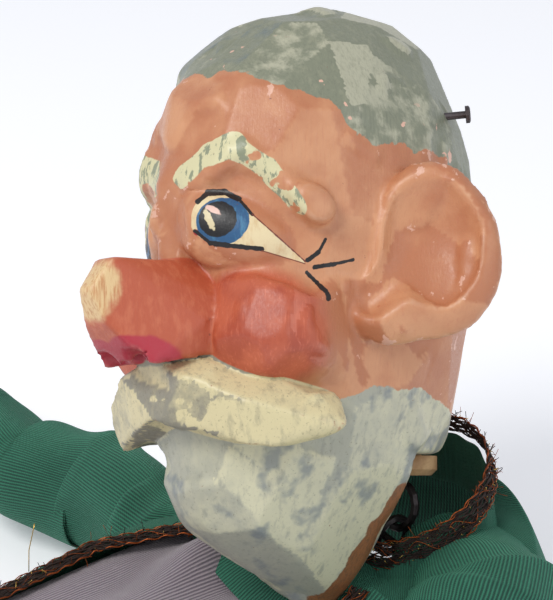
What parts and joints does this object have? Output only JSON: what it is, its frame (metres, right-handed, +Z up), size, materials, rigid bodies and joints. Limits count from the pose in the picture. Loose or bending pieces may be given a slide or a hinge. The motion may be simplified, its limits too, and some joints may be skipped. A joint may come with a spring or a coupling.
{
  "type": "string marionette",
  "caption": "Carved wooden string marionette of a bearded old man in a green jacket, lying on its back, with jointed neck, waist, arms and legs.",
  "frame": {"origin": "on the flat back of the jacket that the puppet lies on, under the chest, in its middle plane", "axes": "+Z up, away from the floor and out of the chest; +Y towards the head; +X to the puppet's left; -Z out of the flat back"},
  "size_m": [0.4237, 0.3993, 0.1674],
  "materials": {
    "painted_wood": "aged satin oil paint over chip-carved wood, chipped and crackled",
    "bare_wood": "bare carved limewood, darkened with age",
    "hand_paint": "flesh-coloured satin paint over carved wood",
    "green_twill": "deep green ribbed twill, matt with a slight sheen",
    "lavender_twill": "grey-lavender ribbed cotton, matt",
    "trouser_cloth": "dark brown wool cloth, matt",
    "tinsel_braid": "tarnished braid of brown thread with copper and gold wires",
    "dark_iron": "dark oxidised iron wire",
    "boot_paint": "dark brown satin paint over carved wood"
  },
  "bodies": {
    "torso": {"chest_block": "bare_wood", "jacket_body": "green_twill", "bib": "lavender_twill", "front_trim_left": "tinsel_braid", "front_trim_right": "tinsel_braid", "neck_staple": "dark_iron", "shoulder_eye_left": "dark_iron", "shoulder_eye_right": "dark_iron", "waist_eye_upper_left": "dark_iron", "waist_eye_upper_right": "dark_iron", "waist_pin": "dark_iron"},
    "neck_link": {"neck_link": "dark_iron"},
    "neck": {"neck_plug": "bare_wood", "neck_eye": "dark_iron", "collar_trim": "tinsel_braid"},
    "head": {"head": "painted_wood", "temple_nail_left": "dark_iron", "temple_nail_right": "dark_iron"},
    "pelvis": {"pelvis_block": "bare_wood", "trouser_seat": "trouser_cloth", "waist_eye_lower_left": "dark_iron", "waist_eye_lower_right": "dark_iron", "hip_pin_left": "dark_iron", "hip_pin_right": "dark_iron"},
    "shoulder_link_left": {"shoulder_ring_left": "dark_iron"},
    "upper_arm_left": {"upper_arm_left": "bare_wood", "arm_eye_left": "dark_iron", "upper_sleeve_left": "green_twill", "elbow_pin_left": "dark_iron"},
    "forearm_left": {"forearm_left": "bare_wood", "lower_sleeve_left": "green_twill", "cuff_left": "green_twill", "wrist_pin_left": "dark_iron"},
    "hand_left": {"hand_left": "hand_paint", "hand_string_eye_left": "dark_iron"},
    "thigh_left": {"thigh_left": "bare_wood", "thigh_trouser_left": "trouser_cloth", "knee_pin_left": "dark_iron", "knee_string_eye_left": "dark_iron"},
    "shin_left": {"shin_left": "bare_wood", "shin_trouser_left": "trouser_cloth", "boot_left": "boot_paint"},
    "shoulder_link_right": {"shoulder_ring_right": "dark_iron"},
    "upper_arm_right": {"upper_arm_right": "bare_wood", "arm_eye_right": "dark_iron", "upper_sleeve_right": "green_twill", "elbow_pin_right": "dark_iron"},
    "forearm_right": {"forearm_right": "bare_wood", "lower_sleeve_right": "green_twill", "cuff_right": "green_twill", "wrist_pin_right": "dark_iron"},
    "hand_right": {"hand_right": "hand_paint", "hand_string_eye_right": "dark_iron"},
    "thigh_right": {"thigh_right": "bare_wood", "thigh_trouser_right": "trouser_cloth", "knee_pin_right": "dark_iron", "knee_string_eye_right": "dark_iron"},
    "shin_right": {"shin_right": "bare_wood", "shin_trouser_right": "trouser_cloth", "boot_right": "boot_paint"}
  },
  "joints": [
    {"name": "neck_nod", "type": "hinge", "parent": "torso", "child": "neck_link", "pos_m": [0, 0.048, 0.038], "axis": [1, 0, 0], "range_deg": [-60, 3]},
    {"name": "neck_lean", "type": "hinge", "parent": "neck_link", "child": "neck", "pos_m": [0, 0.05038, 0.04405], "axis": [0, -0.9304, 0.3665], "range_deg": [-35, 8]},
    {"name": "neck_turn", "type": "hinge", "parent": "neck", "child": "head", "pos_m": [0.00295, 0.04826, 0.03866], "axis": [-0.454, 0.3266, 0.829], "range_deg": [-12, 55]},
    {"name": "waist_bend", "type": "hinge", "parent": "torso", "child": "pelvis", "pos_m": [0, -0.084, 0.015], "axis": [1, 0, 0], "range_deg": [-40, 15]},
    {"name": "shoulder_swing_left", "type": "hinge", "parent": "torso", "child": "shoulder_link_left", "pos_m": [0.055, 0.024, 0.016], "axis": [1, 0, 0], "range_deg": [-90, 20]},
    {"name": "shoulder_spread_left", "type": "hinge", "parent": "shoulder_link_left", "child": "upper_arm_left", "pos_m": [0.055, 0.01415, 0.016], "axis": [0, 0, 1], "range_deg": [-60, 20]},
    {"name": "elbow_left", "type": "hinge", "parent": "upper_arm_left", "child": "forearm_left", "pos_m": [0.11606, 0.00338, 0.016], "axis": [-0.1736, -0.9848, 0], "range_deg": [0, 100]},
    {"name": "wrist_left", "type": "hinge", "parent": "forearm_left", "child": "hand_left", "pos_m": [0.17121, -0.00634, 0.016], "axis": [-0.1736, -0.9848, 0], "range_deg": [-25, 40]},
    {"name": "hip_left", "type": "hinge", "parent": "pelvis", "child": "thigh_left", "pos_m": [0.016, -0.118, 0.015], "axis": [1, 0, 0], "range_deg": [-90, 15]},
    {"name": "knee_left", "type": "hinge", "parent": "thigh_left", "child": "shin_left", "pos_m": [0.016, -0.21, 0.015], "axis": [1, 0, 0], "range_deg": [0, 95]},
    {"name": "shoulder_swing_right", "type": "hinge", "parent": "torso", "child": "shoulder_link_right", "pos_m": [-0.055, 0.024, 0.016], "axis": [1, 0, 0], "range_deg": [-90, 20]},
    {"name": "shoulder_spread_right", "type": "hinge", "parent": "shoulder_link_right", "child": "upper_arm_right", "pos_m": [-0.055, 0.01415, 0.016], "axis": [0, 0, 1], "range_deg": [-16, 64]},
    {"name": "elbow_right", "type": "hinge", "parent": "upper_arm_right", "child": "forearm_right", "pos_m": [-0.11666, 0.00767, 0.016], "axis": [-0.1045, 0.9945, 0], "range_deg": [0, 100]},
    {"name": "wrist_right", "type": "hinge", "parent": "forearm_right", "child": "hand_right", "pos_m": [-0.17235, 0.00182, 0.016], "axis": [-0.1045, 0.9945, 0], "range_deg": [-25, 40]},
    {"name": "hip_right", "type": "hinge", "parent": "pelvis", "child": "thigh_right", "pos_m": [-0.016, -0.118, 0.015], "axis": [1, 0, 0], "range_deg": [-90, 15]},
    {"name": "knee_right", "type": "hinge", "parent": "thigh_right", "child": "shin_right", "pos_m": [-0.016, -0.21, 0.015], "axis": [1, 0, 0], "range_deg": [0, 95]}
  ]
}
